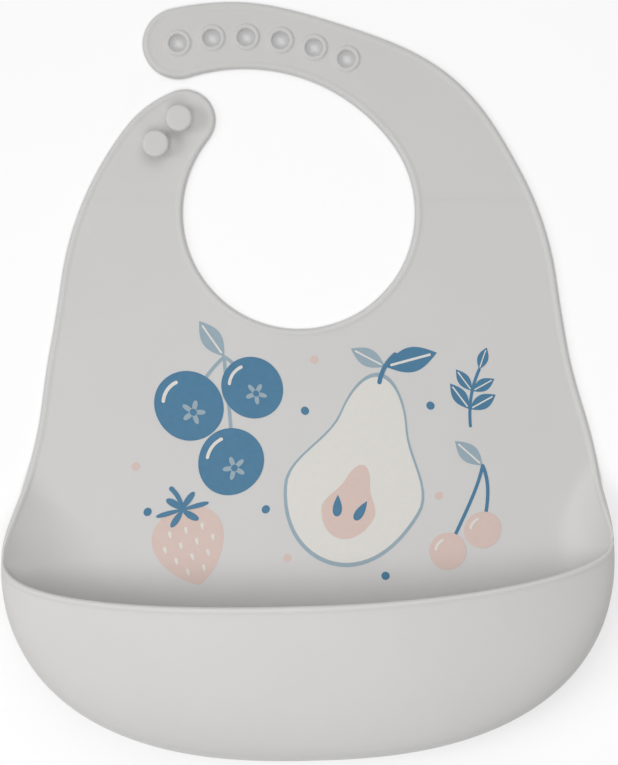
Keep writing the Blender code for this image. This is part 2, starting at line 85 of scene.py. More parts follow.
# Sides of the panel
SIDE_START_ANGLE = math.radians(8.0)
SIDE_FLARE_Y = -0.0390
SIDE_FLARE_INSET = 0.0051
SIDE_FLARE_SLOPE = 0.26
POCKET_HALF_WIDTH = 0.1172
CORNER_Y = -0.0643

# Pocket: outline, upturned edge, front wall and rim
POCKET_DROP = 0.0814
POCKET_ROUNDNESS = 2.45
FLAT_BORDER = 0.0010
CURL_TOP_Y = -0.0250
CURL_TOP_WIDTH = 0.0080
LEFT_TURN_WIDTH = 0.0400
RIGHT_TURN_WIDTH = 0.0210
BOTTOM_TURN_WIDTH = 0.0200
TURN_HEIGHT = 0.0180
RIM_SAG = 0.0204
LEFT_RIM_ROUNDNESS = 2.6
RIGHT_RIM_ROUNDNESS = 1.95
POCKET_DEPTH = 0.0420
WALL_UPRIGHT = 0.62
WALL_REACH = 0.58
WALL_LIP = 0.26

# How the upturned edge at the sides grows towards the corners, how steeply the rim leaves them, and
# how close to them it stays beside the widest line
CURL_WIDTH_POWER = 2.3
CURL_HEIGHT_POWER = 3.0
CURL_TURN_POWER = 5.0
RIM_RISE_POWER = 0.55
RIM_EASE = 0.083

# How far the edge turns up at the top of the sides, at the corners and from UPRIGHT_FROM along the
# pocket, how far above a corner its rows begin to square up, and how much the wall leans out with it
LEAST_TURN = math.radians(5.0)
CORNER_TURN = math.radians(70.0)
UPRIGHT = math.radians(90.0)
UPRIGHT_FROM = 0.5
SQUARE_FROM = 0.0300
FOLD_LEAN = 0.7

# Straps
STRAP_INNER_RADIUS = 0.0718
STRAP_LEAVE_ANGLE = math.radians(35.8)
HOLE_TIP_ANGLE = math.radians(101.8)
HOLE_RADIUS = 0.0033
STRAP_SWAY = 0.0026
STRAP_SWAY_START = math.radians(27.5)
STRAP_SWAY_SPAN = math.radians(65.0)
PEG_TIP_RADIUS = 0.0117
PEG_TIP_BEARING = math.radians(140.8)
PEG_TIP_LEAVE = math.radians(110.0)
PEG_ARC_END = math.radians(142.0)

# Cross-sections of the sheet inwards from a free edge, in millimetres: distance from the edge, then
# how far the back and the front stand from the back's plane. A bead or a collar stands out in front.
BEADED_EDGE = (
    (0.00, 0.40, 0.95),
    (0.15, 0.12, 1.55),
    (0.40, 0.00, 2.06),
    (0.80, 0.00, 2.28),
    (1.30, 0.00, 2.36),
    (1.80, 0.00, 2.30),
    (2.25, 0.00, 2.14),
    (2.60, 0.00, 2.04),
    (3.10, 0.00, 2.00),
)
COLLARED_HOLE = (
    (0.00, 0.25, 1.90),
    (0.12, 0.06, 2.35),
    (0.35, 0.00, 2.62),
    (0.80, 0.00, 2.80),
    (1.20, 0.00, 2.78),
    (1.60, 0.00, 2.55),
    (1.90, 0.00, 2.22),
    (2.15, 0.00, 2.05),
    (2.50, 0.00, 2.00),
)
MILLIMETRE = 0.001
PLAIN = (0.0, SHEET)

# Where the bead dies away towards the corners, the length below which the wall's edge is narrower,
# and how the sheet thins towards the very corner
SIDE_BEAD_FADE = 0.0120
FULL_WALL = 0.0080
CORNER_REACH = 0.0160
CORNER_THICKNESS = 0.4

# Fineness of the sheets
EDGE_SPACING = 0.0020
FOLD_SPACING = 0.0012
LEVEL_SPACING_X = 0.0040
LEVEL_SPACING_Y = 0.0020
POCKET_STEPS = 140
CORNER_CROWDING = 0.3
PROFILE_SAMPLES = 120
TURN_STEPS = 16
WALL_STEPS = 20
HOLE_STEPS = 48
SHARP_ANGLE = math.radians(60.0)
SAME_POINT = 1e-6
OUTLINE_NUDGE = 1e-4
SIDE_NUDGE = 3e-4

# How the pocket lies askew, and how the panel above it sways to one side
SKEW = math.radians(1.5)
SKEW_CENTRE = Vector((0.0, -0.0850))
SWAY = 0.0022
SWAY_TOP = 0.0120
SWAY_FOOT = -0.0680

# How far past a fold line the sheet bends, on the side that moves
CHEST_BEND = 0.0250


def direction(angle):
    return Vector((math.cos(angle), math.sin(angle)))


def angle_of(vector):
    return math.atan2(vector.y, vector.x)


# Sizes that follow
LEFT_ARC = NECK - (SHOULDER_RADIUS - NECK_RADIUS - STRAP_WIDTH) * direction(STRAP_NARROW_ANGLE)
RIGHT_ARC = Vector((-LEFT_ARC.x, LEFT_ARC.y))
STRAP_INNER_CENTRE = NECK + (NECK_RADIUS - STRAP_INNER_RADIUS) * direction(STRAP_LEAVE_ANGLE)


def hermite(t, span, start, start_slope, stop, stop_slope):
    """Cubic from start to stop over a span, with the slope at each end."""
    return (
        (2 * t**3 - 3 * t**2 + 1) * start
        + (t**3 - 2 * t**2 + t) * span * start_slope
        + (3 * t**2 - 2 * t**3) * stop
        + (t**3 - t**2) * span * stop_slope
    )


def smooth(share):
    """An eased step from 0 to 1."""
    share = min(max(share, 0.0), 1.0)
    return share**2 * (3.0 - 2.0 * share)


def levelled(share, power):
    """A step from 0 to 1 that starts as a power of the share and ends level."""
    return share**power * (1.0 + power * (1.0 - share))


def arc(centre, radius, start, stop):
    """Points on a circle from one angle to another, both ends included."""
    steps = max(3, math.ceil(radius * abs(stop - start) / EDGE_SPACING))
    return [centre + radius * direction(start + (stop - start) * i / steps) for i in range(steps + 1)]


def join(start, start_angle, stop, stop_angle):
    """A curve that carries on from one arc into another, both turning to the left."""
    span = (stop - start).length
    steps = math.ceil(span / EDGE_SPACING)
    leave = direction(start_angle + math.pi / 2)
    meet = direction(stop_angle + math.pi / 2)
    return [hermite(i / steps, span, start, leave, stop, meet) for i in range(steps + 1)]


def chain(*runs):
    """Runs of points joined end to end, without the points that they share."""
    points = []
    for run in runs:
        points += [p for p in run if not points or (p - points[-1]).length > SAME_POINT]
    return points


def half_width(y):
    """Half the width of the bib between the pocket's corner and the straps."""
    start_y = LEFT_ARC.y + SHOULDER_RADIUS * math.sin(SIDE_START_ANGLE)
    if y >= start_y:
        return math.sqrt(SHOULDER_RADIUS**2 - (y - LEFT_ARC.y) ** 2) - LEFT_ARC.x
    flare = POCKET_HALF_WIDTH - SIDE_FLARE_INSET
    if y >= SIDE_FLARE_Y:
        start = SHOULDER_RADIUS * math.cos(SIDE_START_ANGLE) - LEFT_ARC.x
        span = start_y - SIDE_FLARE_Y
        slope = math.tan(SIDE_START_ANGLE)
        return hermite((start_y - y) / span, span, start, slope, flare, SIDE_FLARE_SLOPE)
    span = SIDE_FLARE_Y - CORNER_Y
    return hermite((SIDE_FLARE_Y - y) / span, span, flare, SIDE_FLARE_SLOPE, POCKET_HALF_WIDTH, 0.0)


def pocket_outline(t):
    """A point on the pocket's widest line: t runs from 0 at the left corner to pi at the right."""
    power = 2.0 / POCKET_ROUNDNESS
    across = math.copysign(abs(math.cos(t)) ** power, math.cos(t))
    return Vector((-POCKET_HALF_WIDTH * across, CORNER_Y - POCKET_DROP * abs(math.sin(t)) ** power))


def pocket_angle(i):
    """Steps from corner to corner, closer together near the corners."""
    t = math.pi * i / POCKET_STEPS
    return t - CORNER_CROWDING * math.sin(2 * t)


def pocket_inward(t):
    """The level direction into the pocket, square to its widest line."""
    along = pocket_outline(min(t + OUTLINE_NUDGE, math.pi)) - pocket_outline(max(t - OUTLINE_NUDGE, 0.0))
    return Vector((-along.y, along.x)).normalized()


def turn_profile(station, share):
    """A point on the upturned back of the sheet: share 0 lies flat, share 1 is at the edge."""
    edge, inward, width, height, turn = station
    across = width * (1.0 - math.sin(turn * share) / math.sin(turn))
    rise = height * (1.0 - math.cos(turn * share)) / (1.0 - math.cos(turn))
    return (edge + inward * across).to_3d() + Vector((0.0, 0.0, rise))


def flat_point(station):
    edge, inward, width = station[:3]
    return (edge + inward * (width + FLAT_BORDER)).to_3d()


def side_station(y, sign):
    """The sheet's upturned edge on one side, above the pocket's corner."""
    share = min(max((CURL_TOP_Y - y) / (CURL_TOP_Y - CORNER_Y), 0.0), 1.0)
    above = half_width(y + SIDE_NUDGE)
    below = half_width(max(y - SIDE_NUDGE, CORNER_Y))
    slope = (above - below) / (2 * SIDE_NUDGE)
    inward = Vector((-1.0, slope * smooth((y - CORNER_Y) / SQUARE_FROM))).normalized()
    if y >= SHOULDER_Y - SAME_POINT:
        inward = Vector((-1.0 / abs(inward.x), 0.0))
    inward.x *= sign
    full = LEFT_TURN_WIDTH if sign < 0 else RIGHT_TURN_WIDTH
    width = CURL_TOP_WIDTH + (full - CURL_TOP_WIDTH) * levelled(share, CURL_WIDTH_POWER)
    height = TURN_HEIGHT * levelled(share, CURL_HEIGHT_POWER)
    turn = LEAST_TURN + (CORNER_TURN - LEAST_TURN) * levelled(share, CURL_TURN_POWER)
    return Vector((sign * half_width(y), y)), inward, width, height, turn


def pocket_station(t):
    """The sheet's upturned edge below the corners."""
    full = LEFT_TURN_WIDTH if t < math.pi / 2 else RIGHT_TURN_WIDTH
    width = full + (BOTTOM_TURN_WIDTH - full) * math.sin(t)
    turn = CORNER_TURN + (UPRIGHT - CORNER_TURN) * smooth(min(t, math.pi - t) / UPRIGHT_FROM)
    return pocket_outline(t), pocket_inward(t), width, TURN_HEIGHT, turn


def rim_angle(t):
    """The place along the rim that faces a place on the widest line. It runs ahead of the widest
    line, but not close to the corners, where the two stay side by side."""
    share = min(t, math.pi - t) / (math.pi / 2)
    lead = (math.sqrt(share + RIM_EASE**2) - RIM_EASE) / (math.sqrt(1.0 + RIM_EASE**2) - RIM_EASE)
    return math.pi / 2 * lead if t < math.pi / 2 else math.pi - math.pi / 2 * lead


def rim_point(t):
    """A point on the rim of the pocket's front wall, which starts level with the corner."""
    power = 2.0 / (LEFT_RIM_ROUNDNESS if t < math.pi / 2 else RIGHT_RIM_ROUNDNESS)
    across = math.copysign(abs(math.cos(t)) ** power, math.cos(t))
    sag = RIM_SAG * abs(math.sin(t)) ** power
    rise = (POCKET_DEPTH - TURN_HEIGHT) * (1.0 - across**2) ** RIM_RISE_POWER
    return Vector((-POCKET_HALF_WIDTH * across, CORNER_Y - sag, TURN_HEIGHT + rise))


def fold_direction(t):
    """The way the wall leaves its widest line: straight up, or leaning out as the back does there."""
    _, inward, width, height, turn = pocket_station(t)
    out = width / math.tan(turn)
    up = height * math.sin(turn) / (1.0 - math.cos(turn))
    return Vector((0.0, 0.0, 1.0)) - inward.to_3d() * FOLD_LEAN * out / up


def wall_point(t, share):
    """A point on the outside of the front wall: share 0 is its widest line, share 1 its rim."""
    foot = pocket_outline(t).to_3d() + Vector((0.0, 0.0, TURN_HEIGHT))
    rim = rim_point(rim_angle(t))
    rise = rim.z - foot.z
    level = Vector((rim.x - foot.x, rim.y - foot.y, 0.0))
    upright = foot + WALL_UPRIGHT * rise * fold_direction(t)
    lip = rim - level * WALL_REACH - Vector((0.0, 0.0, WALL_LIP * rise))
    rest = 1.0 - share
    return foot * rest**3 + upright * 3 * rest**2 * share + lip * 3 * rest * share**2 + rim * share**3


def edge_section(section, distance):
    """Offsets of the back and the front at a distance from a free edge, in metres."""
    distances, backs, fronts = zip(*section)
    at = distance / MILLIMETRE
    return MILLIMETRE * np.interp(at, distances, backs), MILLIMETRE * np.interp(at, distances, fronts)


def mix(first, second, share):
    """Two pairs of offsets mixed."""
    return tuple(a + (b - a) * share for a, b in zip(first, second))


def thinned(point, offsets):
    """Offsets made less close to a corner of the pocket, where the sheet turns tightly."""
    corner = Vector((math.copysign(POCKET_HALF_WIDTH, point.x), CORNER_Y, TURN_HEIGHT))
    away = min((point - corner).length / CORNER_REACH, 1.0)
    share = CORNER_THICKNESS + (1.0 - CORNER_THICKNESS) * away
    return tuple(share * offset for offset in offsets)


class Sheet:
    """A moulded sheet: points on its back, how far its two faces stand from them, and its faces."""

    def __init__(self):
        self.points = []
        self.offsets = []
        self.faces = []

    def add(self, point, offsets=PLAIN):
        self.points.append(Vector(point).to_3d())
        self.offsets.append(offsets)
        return len(self.points) - 1

    def weave(self, rows):
        """Faces between neighbouring rows of points, which may share points. The rows follow each
        other with the sheet on the left, and each runs in from the edge."""
        for row, following in zip(rows, rows[1:]):
            for j in range(len(row) - 1):
                face = list(dict.fromkeys((following[j], following[j + 1], row[j + 1], row[j])))
                if len(face) > 2:
                    self.faces.append(face)

    def fill(self, loops):
        """Faces in the level area inside the first loop of points and outside the others."""
        outlines = [[self.points[i].to_2d() for i in loop] for loop in loops]
        known = [i for loop in loops for i in loop]
        points = [p for outline in outlines for p in outline]
        edges = []
        for loop in loops:
            start = len(edges)
            edges += [(start + j, start + (j + 1) % len(loop)) for j in range(len(loop))]
        for row in level_rows(outlines):
            edges += [(len(points) + j, len(points) + j + 1) for j in range(len(row) - 1) if row[j + 1][1]]
            points += [point for point, joined in row]
        places, _, triangles, origins, _, _ = delaunay_2d_cdt(points, edges, [], 0, SAME_POINT)
        index = []
        for place, origin in zip(places, origins):
            if origin and origin[0] < len(known):
                index.append(known[origin[0]])
            else:
                index.append(self.add(place.to_3d()))
        for triangle in triangles:
            middle = sum((places[i] for i in triangle), Vector((0.0, 0.0))) / 3
            if inside(middle, outlines):
                self.faces.append([index[i] for i in triangle])

    def solid(self, name):
        """The sheet as a closed, smooth mesh."""
        skin = bmesh.new()
        verts = [skin.verts.new(point) for point in self.points]
        for face in self.faces:
            skin.faces.new([verts[i] for i in face])
        skin.normal_update()
        skin.verts.index_update()
        count = len(verts)
        backs = [v.co + v.normal * back for v, (back, front) in zip(verts, self.offsets)]
        fronts = [v.co + v.normal * front for v, (back, front) in zip(verts, self.offsets)]
        faces = []
        for face in skin.faces:
            corners = [vert.index for vert in face.verts]
            faces.append([count + i for i in corners])
            faces.append(corners[::-1])
        for edge in skin.edges:
            if edge.is_boundary:
                start = edge.link_loops[0].vert.index
                stop = edge.other_vert(edge.link_loops[0].vert).index
                faces.append([count + stop, count + start, start, stop])
        skin.free()
        mesh = bpy.data.meshes.new(name)
        mesh.from_pydata(backs + fronts, [], faces)
        mesh.shade_smooth()
        mesh.set_sharp_from_angle(angle=SHARP_ANGLE)
        return add_piece(name, mesh)


def add_piece(name, mesh):
    piece = bpy.data.objects.new(name, mesh)
    bpy.context.scene.collection.objects.link(piece)
    return piece


def inside(point, outlines):
    """Whether a point lies inside the first outline and outside the others."""
    return all(crossed(point, outline) == (i == 0) for i, outline in enumerate(outlines))


def crossed(point, outline):
    odd = False
    for a, b in zip(outline, outline[1:] + outline[:1]):
        if (a.y > point.y) != (b.y > point.y):
            if point.x < a.x + (point.y - a.y) / (b.y - a.y) * (b.x - a.x):
                odd = not odd
    return odd


def level_rows(outlines):
    """Rows of points in a level area, on lines shared by every sheet: each point and whether it
    follows straight on from the one before."""
    edge = np.array([p for outline in outlines for p in outline])
    low = edge.min(axis=0)
    high = edge.max(axis=0)
    rows = []
    first = math.ceil((low[1] - FOLD_Y) / LEVEL_SPACING_Y)
    last = math.floor((high[1] - FOLD_Y) / LEVEL_SPACING_Y)
    for k in range(first, last + 1):
        y = FOLD_Y + k * LEVEL_SPACING_Y
        row = []
        joined = False
        for x in np.arange(low[0], high[0], LEVEL_SPACING_X):
            point = Vector((x, y))
            clear = np.hypot(*(edge - (x, y)).T).min() > LEVEL_SPACING_Y / 2
            if clear and inside(point, outlines):
                row.append((point, joined))
                joined = True
            else:
                joined = False
        rows.append(row)
    return rows


def profile_shares(profile, distances, steps):
    """Shares of a profile at distances from its edge at share 1, then evenly on to share 0, with those
    distances and how much they were drawn together where the profile is short."""
    shares = [1.0 - i / PROFILE_SAMPLES for i in range(PROFILE_SAMPLES + 1)]
    points = [profile(share) for share in shares]
    lengths = [(far - near).length for near, far in zip(points, points[1:])]
    reach = np.concatenate(([0.0], np.cumsum(lengths)))
    scale = min(1.0, reach[-1] / FULL_WALL)
    near = [distance * scale for distance in distances]
    rest = reach[-1] - near[-1]
    far = [near[-1] + rest * j / steps for j in range(1, steps + 1)]
    return np.interp(near + far, reach, shares), near + far, scale


def level_edge(sheet, points, section, cut_ends=True):
    """A band of the level sheet along a free edge, which runs with the sheet on its left."""
    rows = []
    for i, point in enumerate(points):
        after = points[min(i + 1, len(points) - 1)] if cut_ends else points[(i + 1) % len(points)]
        before = points[max(i - 1, 0)] if cut_ends else points[i - 1]
        along = (after - before).normalized()
        inward = Vector((-along.y, along.x))
        if cut_ends and i in (0, len(points) - 1):
            inward = Vector((1.0 / inward.x, 0.0))
        rows.append(
            [
                sheet.add(point + inward * distance * MILLIMETRE, (back * MILLIMETRE, front * MILLIMETRE))
                for distance, back, front in section
            ]
        )
    sheet.weave(rows if cut_ends else rows + rows[:1])
    return [row[-1] for row in rows]


def body_edge(sheet):
    """The free edge of the body from the left shoulder round the pocket to the right shoulder, and
    the level border inside it."""
    distances = [distance * MILLIMETRE for distance, back, front in BEADED_EDGE]
    count = math.ceil((SHOULDER_Y - CORNER_Y) / EDGE_SPACING)
    levels = [SHOULDER_Y + (CORNER_Y - SHOULDER_Y) * i / count for i in range(count)]
    left = [side_row(sheet, y, -1, distances) for y in levels]
    right = [side_row(sheet, y, 1, distances) for y in reversed(levels)]
    angles = [pocket_angle(i) for i in range(POCKET_STEPS + 1)]
    spread = [i * FOLD_SPACING for i in range(len(distances))]
    below = [turn_row(sheet, pocket_station(t), spread, lambda distance: PLAIN) for t in angles]
    sheet.weave(left + below + right)
    walls = [[row[0]] * (len(distances) + WALL_STEPS) for row in (below[0], below[-1])]
    middle = [wall_row(sheet, t, row[0], distances) for t, row in zip(angles[1:-1], below[1:-1])]
    sheet.weave([walls[0]] + middle + [walls[1]])
    return [row[-1] for row in left + below + right]


def turn_row(sheet, station, distances, offsets):
    """Points on the upturned sheet at one place, from its edge to the level middle."""
    shares, reach, _ = profile_shares(lambda share: turn_profile(station, share), distances, TURN_STEPS)
    points = [turn_profile(station, share) for share in shares]
    row = [sheet.add(point, thinned(point, offsets(d))) for point, d in zip(points, reach)]
    return row + [sheet.add(flat_point(station))]


def side_row(sheet, y, sign, distances):
    fade = min((y - CORNER_Y) / SIDE_BEAD_FADE, 1.0)

    def offsets(distance):
        return mix(PLAIN, edge_section(BEADED_EDGE, distance), fade)

    return turn_row(sheet, side_station(y, sign), distances, offsets)


def wall_row(sheet, t, foot, distances):
    """Points on the outside of the front wall at one place, from its rim to its foot."""
    shares, reach, scale = profile_shares(lambda share: wall_point(t, share), distances, WALL_STEPS)
    row = []
    for share, distance in list(zip(shares, reach))[:-1]:
        back, front = edge_section(BEADED_EDGE, distance / scale)
        rim = mix(PLAIN, (SHEET - front, SHEET - back), scale)
        point = wall_point(t, share)
        row.append(sheet.add(point, thinned(point, rim)))
    return row + [foot]


def neck_angle(y):
    return math.asin((y - NECK.y) / NECK_RADIUS)


def make_body():
    """The panel, the pocket and the chest as one moulded sheet."""
    sheet = Sheet()
    outer = body_edge(sheet)
    opening = neck_angle(SHOULDER_Y)
    neck = level_edge(sheet, arc(NECK, NECK_RADIUS, opening, -math.pi - opening), BEADED_EDGE)
    sheet.fill([outer + neck])
    body = sheet.solid("bib_body")
    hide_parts("lower_panel", "catcher_pocket", "chest_panel")
    return body


def round_end(arc_centre, angle, inner_centre, inner_radius):
    """Centre and radius of the strap end that touches the outer arc and an inner circle."""
    apart = arc_centre - inner_centre
    both = inner_radius + SHOULDER_RADIUS
    reach = (both**2 - apart.length_squared) / (2 * (apart.dot(direction(angle)) + both))
    return arc_centre + reach * direction(angle), SHOULDER_RADIUS - reach


def swayed(point):
    """A point on the long strap's outer edge, which lies a little off its arc."""
    out = (point - RIGHT_ARC).normalized()
    share = min(max((angle_of(out) - STRAP_SWAY_START) / STRAP_SWAY_SPAN, 0.0), 1.0)
    return point + out * STRAP_SWAY * math.sin(2 * math.pi * share) * math.sin(math.pi * share)


def make_hole_strap():
    """The long strap, with a raised collar round each hole."""
    tip, tip_radius = round_end(RIGHT_ARC, HOLE_TIP_ANGLE, STRAP_INNER_CENTRE, STRAP_INNER_RADIUS)
    start = math.asin((SHOULDER_Y - LEFT_ARC.y) / SHOULDER_RADIUS)
    inwards = angle_of(STRAP_INNER_CENTRE - tip) + 2 * math.pi
    edge = chain(
        [swayed(point) for point in arc(RIGHT_ARC, SHOULDER_RADIUS, start, HOLE_TIP_ANGLE)],
        arc(tip, tip_radius, HOLE_TIP_ANGLE, inwards),
        arc(STRAP_INNER_CENTRE, STRAP_INNER_RADIUS, inwards - math.pi, STRAP_LEAVE_ANGLE),
        arc(NECK, NECK_RADIUS, STRAP_LEAVE_ANGLE, neck_angle(SHOULDER_Y)),
    )
    sheet = Sheet()
    loops = [level_edge(sheet, edge, BEADED_EDGE)]
    for hole in HOLES:
        turns = [-2 * math.pi * i / HOLE_STEPS for i in range(HOLE_STEPS)]
        rim = [hole + HOLE_RADIUS * direction(turn) for turn in turns]
        loops.append(level_edge(sheet, rim, COLLARED_HOLE, cut_ends=False))
    sheet.fill(loops)
    strap = sheet.solid("hole_strap_skin")
    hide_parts("hole_strap")
    return strap


def make_peg_strap():
    """The short strap."""
    tip = NECK + (NECK_RADIUS + PEG_TIP_RADIUS) * direction(PEG_TIP_BEARING)
    start = math.pi - math.asin((SHOULDER_Y - LEFT_ARC.y) / SHOULDER_RADIUS)
    end = arc(tip, PEG_TIP_RADIUS, PEG_TIP_BEARING - math.pi, PEG_TIP_LEAVE)
    side = arc(LEFT_ARC, SHOULDER_RADIUS, PEG_ARC_END, start)
    edge = chain(
        arc(NECK, NECK_RADIUS, math.pi - neck_angle(SHOULDER_Y), PEG_TIP_BEARING),
        end,
        join(end[-1], PEG_TIP_LEAVE, side[0], PEG_ARC_END),
        side,
    )
    sheet = Sheet()
    sheet.fill([level_edge(sheet, edge, BEADED_EDGE)])
    strap = sheet.solid("peg_strap_skin")
    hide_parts("peg_strap")
    return strap


# Pegs: outline of the foot, stem and head, in millimetres from the axis and above the strap's back
PEG_OUTLINE = (
    (4.30, 1.90),
    (3.90, 2.06),
    (3.55, 2.28),
    (3.25, 2.65),
    (3.05, 3.20),
    (3.00, 4.00),
    (3.02, 4.70),
    (3.20, 4.98),
    (3.60, 5.08),
    (4.20, 5.10),
    (4.70, 5.18),
    (5.02, 5.42),
    (5.18, 5.80),
    (5.20, 6.30),
    (5.14, 6.75),
    (4.96, 7.15),
    (4.66, 7.42),
    (4.25, 7.56),
    (3.60, 7.62),
    (2.40, 7.66),
    (1.20, 7.68),
)
PEG_TOP = 7.69
PEG_STEPS = 64


def make_peg(node):
    """A mushroom peg with a soft foot, where it grows out of the strap."""
    low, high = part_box(node)
    centre = (Vector(low) + Vector(high)) / 2
    shape = bmesh.new()
    rings = []
    for radius, z in PEG_OUTLINE:
        turns = [2 * math.pi * i / PEG_STEPS for i in range(PEG_STEPS)]
        spots = [centre.to_2d() + radius * MILLIMETRE * direction(turn) for turn in turns]
        rings.append([shape.verts.new((*spot, z * MILLIMETRE)) for spot in spots])
    for ring, following in zip(rings, rings[1:]):
        for j in range(PEG_STEPS):
            shape.faces.new((ring[j - 1], ring[j], following[j], following[j - 1]))
    top = shape.verts.new((centre.x, centre.y, PEG_TOP * MILLIMETRE))
    for j in range(PEG_STEPS):
        shape.faces.new((rings[-1][j - 1], rings[-1][j], top))
    shape.faces.new(rings[0][::-1])
    mesh = bpy.data.meshes.new(node + "_skin")
    shape.to_mesh(mesh)
    shape.free()
    mesh.shade_smooth()
    mesh.set_sharp_from_angle(angle=SHARP_ANGLE)
    peg = add_piece(node + "_skin", mesh)
    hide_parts(node)
    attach(peg, "peg_strap")
    return peg


# Print in ink on the panel, in metres: how far its films stand out and how fine its lines are
INK_LIFT = 0.00008
INK_STEP = 0.000001
INK_SUNK = 0.00003
CURVE_STEPS = 72
STROKE_STEPS = 14
CAP_STEPS = 6
STEM_WIDTH = 0.0017
THIN_STEM_WIDTH = 0.8 * STEM_WIDTH
SEED_SLIMNESS = 0.55

# Leaves: width, then where the rib runs and its width, as shares of the length
LEAF_WIDTH = 0.46
RIB_START = 0.12
RIB_MIDDLE = 0.50
RIB_END = 0.86
RIB_WIDTH = 0.045

# Cut pear. Its stem and the foot of its leaves are measured from its top.
PEAR_PLACE = Vector((0.0190, -0.0350))
PEAR_TURN = math.radians(-13.0)
PEAR_HEIGHT = 0.0740
PEAR_WIDTH = 0.0560
PEAR_SKIN = 1.045
PEAR_WAIST_LOW = 0.34
PEAR_WAIST_SPAN = 0.42
PEAR_NECK = 0.47
PEAR_CORE = 0.40
PEAR_CORE_DROP = -0.0130
PEAR_SEED = 0.0085
PEAR_SEED_APART = 0.0048
PEAR_SEED_DROP = 1.2 * PEAR_CORE_DROP
PEAR_SEED_TURN = math.radians(16.0)
PEAR_STEM = (Vector((0.0, -0.0020)), Vector((0.0002, 0.0050)), Vector((0.0040, 0.0100)))
PEAR_LEAF_FOOT = Vector((0.0012, 0.0045))
PEAR_LEAVES = (("blue", math.radians(-75.0), 0.0210), ("leaf", math.radians(62.0), 0.0150))

# Berries: places and radii, then crown and shine as shares of the radius
BERRIES = (
    (Vector((-0.0480, -0.0100)), 0.0135),
    (Vector((-0.0228, -0.0030)), 0.0120),
    (Vector((-0.0320, -0.0315)), 0.0128),
)
CROWN_SIZE = 0.36
CROWN_POINTS = 5
CROWN_DEPTH = 0.34
CROWN_TURN = 1.0
CROWN_SHIFT = 0.22
CROWN_BEARING = math.radians(-60.0)
CROWN_EYE = 0.28
BERRY_SHINE_REACH = 0.74
BERRY_SHINE_WIDTH = 0.10
SHINE_START = math.radians(115.0)
SHINE_SWEEP = math.radians(55.0)
BERRY_FORK = Vector((-0.0330, 0.0090))
BERRY_STEM_SWING = Vector((0.0, 0.0030))
BERRY_LEAF = 0.0170
BERRY_LEAF_TURN = math.radians(35.0)

# Strawberry. Its stem is measured from the middle of its calyx.
STRAWBERRY_PLACE = Vector((-0.0460, -0.0635))
STRAWBERRY_TURN = math.radians(14.0)
STRAWBERRY_HEIGHT = 0.0310
STRAWBERRY_WIDTH = 0.0330
STRAWBERRY_FULLNESS = 0.55
STRAWBERRY_ROWS = (3, 4, 3, 2)
STRAWBERRY_FIRST_ROW = 0.0062
STRAWBERRY_ROW_SPACING = 0.0053
STRAWBERRY_COLUMN_SPACING = 0.0064
STRAWBERRY_SEED = 0.0030
STRAWBERRY_STEM = (Vector((0.0, 0.0)), Vector((0.0, 0.0050)), Vector((-0.0030, 0.0090)))
CALYX_SIZE = 0.0105
CALYX_POINTS = 6
CALYX_DEPTH = 0.42
CALYX_FLAT = 0.62
CALYX_DROP = 0.0010

# Cherries
CHERRY_RADIUS = 0.0072
CHERRY_SHINE_REACH = 0.66
CHERRY_SHINE_WIDTH = 0.14
CHERRIES = (Vector((0.0545, -0.0680)), Vector((0.0680, -0.0600)))
CHERRY_STEMS_MEET = Vector((0.0660, -0.0340))
CHERRY_STEM_SWING = Vector((0.0040, 0.0030))
CHERRY_LEAF = 0.0150
CHERRY_LEAF_TURN = math.radians(48.0)

# Sprig: its leaves get shorter from foot to tip
SPRIG_FOOT = Vector((0.0610, -0.0180))
SPRIG_TIP = Vector((0.0660, 0.0040))
SPRIG_SWING = Vector((-0.0030, 0.0))
SPRIG_STEM_WIDTH = 0.7 * STEM_WIDTH
SPRIG_LEAF = 0.0115
SPRIG_LEAF_HEIGHTS = (0.30, 0.62)
SPRIG_LEAF_SHIFT = Vector((-0.0014, 0.0))
SPRIG_LEAF_LEAN = math.radians(-14.0)
SPRIG_LEAF_SPREAD = math.radians(48.0)
SPRIG_LOW_LEAF = 1.2
SPRIG_TAPER = 0.5
SPRIG_TIP_LEAN = math.radians(-20.0)
SPRIG_TIP_LEAF = 0.8

# Dots
DOT_RADIUS = 0.0016
PINK_DOTS = (
    Vector((-0.0690, -0.0330)),
    Vector((-0.0080, -0.0690)),
    Vector((0.0020, 0.0080)),
    Vector((0.0500, -0.0460)),
)
BLUE_DOTS = (
    Vector((-0.0630, -0.0500)),
    Vector((-0.0170, -0.0500)),
    Vector((0.0460, -0.0100)),
    Vector((-0.0030, -0.0120)),
    Vector((0.0300, -0.0770)),
)


def placed(points, place, turn=0.0, size=1.0):
    """Points of a shape drawn round its own middle, turned and set down on the panel."""
    across = direction(turn)
    up = Vector((-across.y, across.x))
    return [place + size * (across * point.x + up * point.y) for point in points]


def looped(curve):
    """Points once round a closed curve."""
    return [curve(2 * math.pi * i / CURVE_STEPS) for i in range(CURVE_STEPS)]


def disc(place, radius):
    return looped(lambda t: place + radius * direction(t))


def star(size, points, depth):
    return looped(lambda t: size * (1.0 - depth + depth * math.cos(points * t)) * direction(t))


def drop(width, height, fullness=1.0):
    """A drop with its point down."""
    return looped(
        lambda t: Vector(
            (width / 2 * math.sin(t) * math.sin(t / 2) ** fullness, -height / 2 * math.cos(t))
        )
    )


def leaf(length, width):
    """A leaf that grows up from its foot."""

    def edge(t):
        up = (1.0 - math.cos(t)) / 2
        return Vector((math.copysign(width / 2 * math.sin(math.pi * up), math.sin(t)), length * up))

    return looped(edge)


